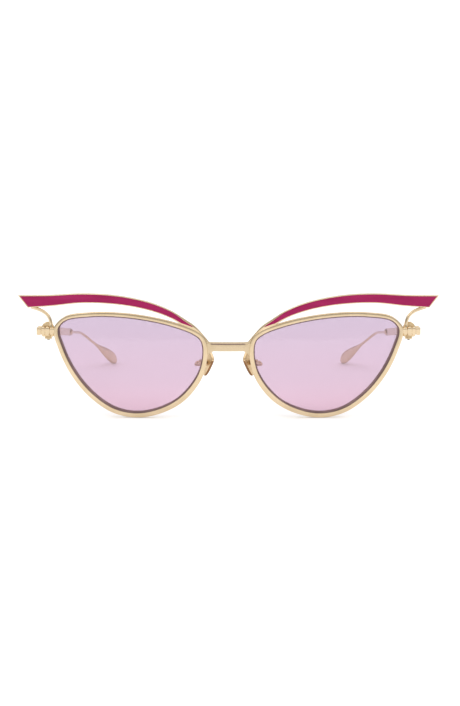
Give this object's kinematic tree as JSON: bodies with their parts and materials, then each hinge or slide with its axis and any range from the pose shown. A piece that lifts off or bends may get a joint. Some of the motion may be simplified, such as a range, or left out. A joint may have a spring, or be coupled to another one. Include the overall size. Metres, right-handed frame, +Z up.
{
  "type": "cat eye sunglasses",
  "caption": "Metal cat eye sunglasses with raised enamelled brow wings, tinted lenses, folding temples and rocking nose pads.",
  "frame": {"origin": "middle of the footprint of the open glasses, on the surface that the rims and temple tips stand on", "axes": "+X towards the wearer's left, -Y the way the front faces, +Z up"},
  "size_m": [0.1588, 0.1445, 0.0467],
  "materials": {
    "gold": "polished light champagne gold plating",
    "gold_satin": "satin champagne gold plating",
    "pad_gold": "brushed gold-toned metal",
    "wing_enamel": "glossy magenta enamel",
    "lens_tint": "clear gloss, lilac tint above fading to pink below",
    "screw_steel": "bright turned steel",
    "washer_nylon": "natural nylon"
  },
  "bodies": {
    "front": {"bridge": "gold", "end_piece_left": "gold", "end_piece_right": "gold", "hinge_front_leaf_left": "gold_satin", "hinge_front_leaf_right": "gold_satin", "hinge_screw_left": "screw_steel", "hinge_screw_right": "screw_steel", "hinge_washer_lower_left": "washer_nylon", "hinge_washer_lower_right": "washer_nylon", "hinge_washer_upper_left": "washer_nylon", "hinge_washer_upper_right": "washer_nylon", "lens_left": "lens_tint", "lens_right": "lens_tint", "pad_arm_left": "gold", "pad_arm_right": "gold", "pad_box_left": "gold_satin", "pad_box_right": "gold_satin", "pad_screw_left": "screw_steel", "pad_screw_right": "screw_steel", "rim_left": "gold", "rim_lock_left": "gold_satin", "rim_lock_right": "gold_satin", "rim_right": "gold", "rim_screw_left": "screw_steel", "rim_screw_right": "screw_steel", "wing_enamel_left": "wing_enamel", "wing_enamel_right": "wing_enamel", "wing_left": "gold", "wing_right": "gold", "wing_strut_left": "gold", "wing_strut_right": "gold"},
    "temple_left": {"hinge_temple_leaf_left": "gold_satin", "temple_bar_left": "gold", "temple_collar_left": "gold", "temple_tip_left": "gold", "temple_wire_left": "gold"},
    "temple_right": {"hinge_temple_leaf_right": "gold_satin", "temple_bar_right": "gold", "temple_collar_right": "gold", "temple_tip_right": "gold", "temple_wire_right": "gold"},
    "pad_left": {"nose_pad_left": "pad_gold"},
    "pad_right": {"nose_pad_right": "pad_gold"}
  },
  "joints": [
    {"name": "temple_fold_left", "type": "hinge", "parent": "front", "child": "temple_left", "pos_m": [0.068, -0.06115, 0.0319], "axis": [0, 0.1444, 0.9895], "range_deg": [0, 82]},
    {"name": "temple_fold_right", "type": "hinge", "parent": "front", "child": "temple_right", "pos_m": [-0.068, -0.06115, 0.0319], "axis": [0, -0.1444, -0.9895], "range_deg": [0, 74]},
    {"name": "pad_rock_left", "type": "hinge", "parent": "front", "child": "pad_left", "pos_m": [0.0095, -0.06392, 0.02004], "axis": [0.5, 0.866, 0], "range_deg": [-8, 8]},
    {"name": "pad_rock_right", "type": "hinge", "parent": "front", "child": "pad_right", "pos_m": [-0.0095, -0.06392, 0.02004], "axis": [-0.5, 0.866, 0], "range_deg": [-8, 8]}
  ]
}
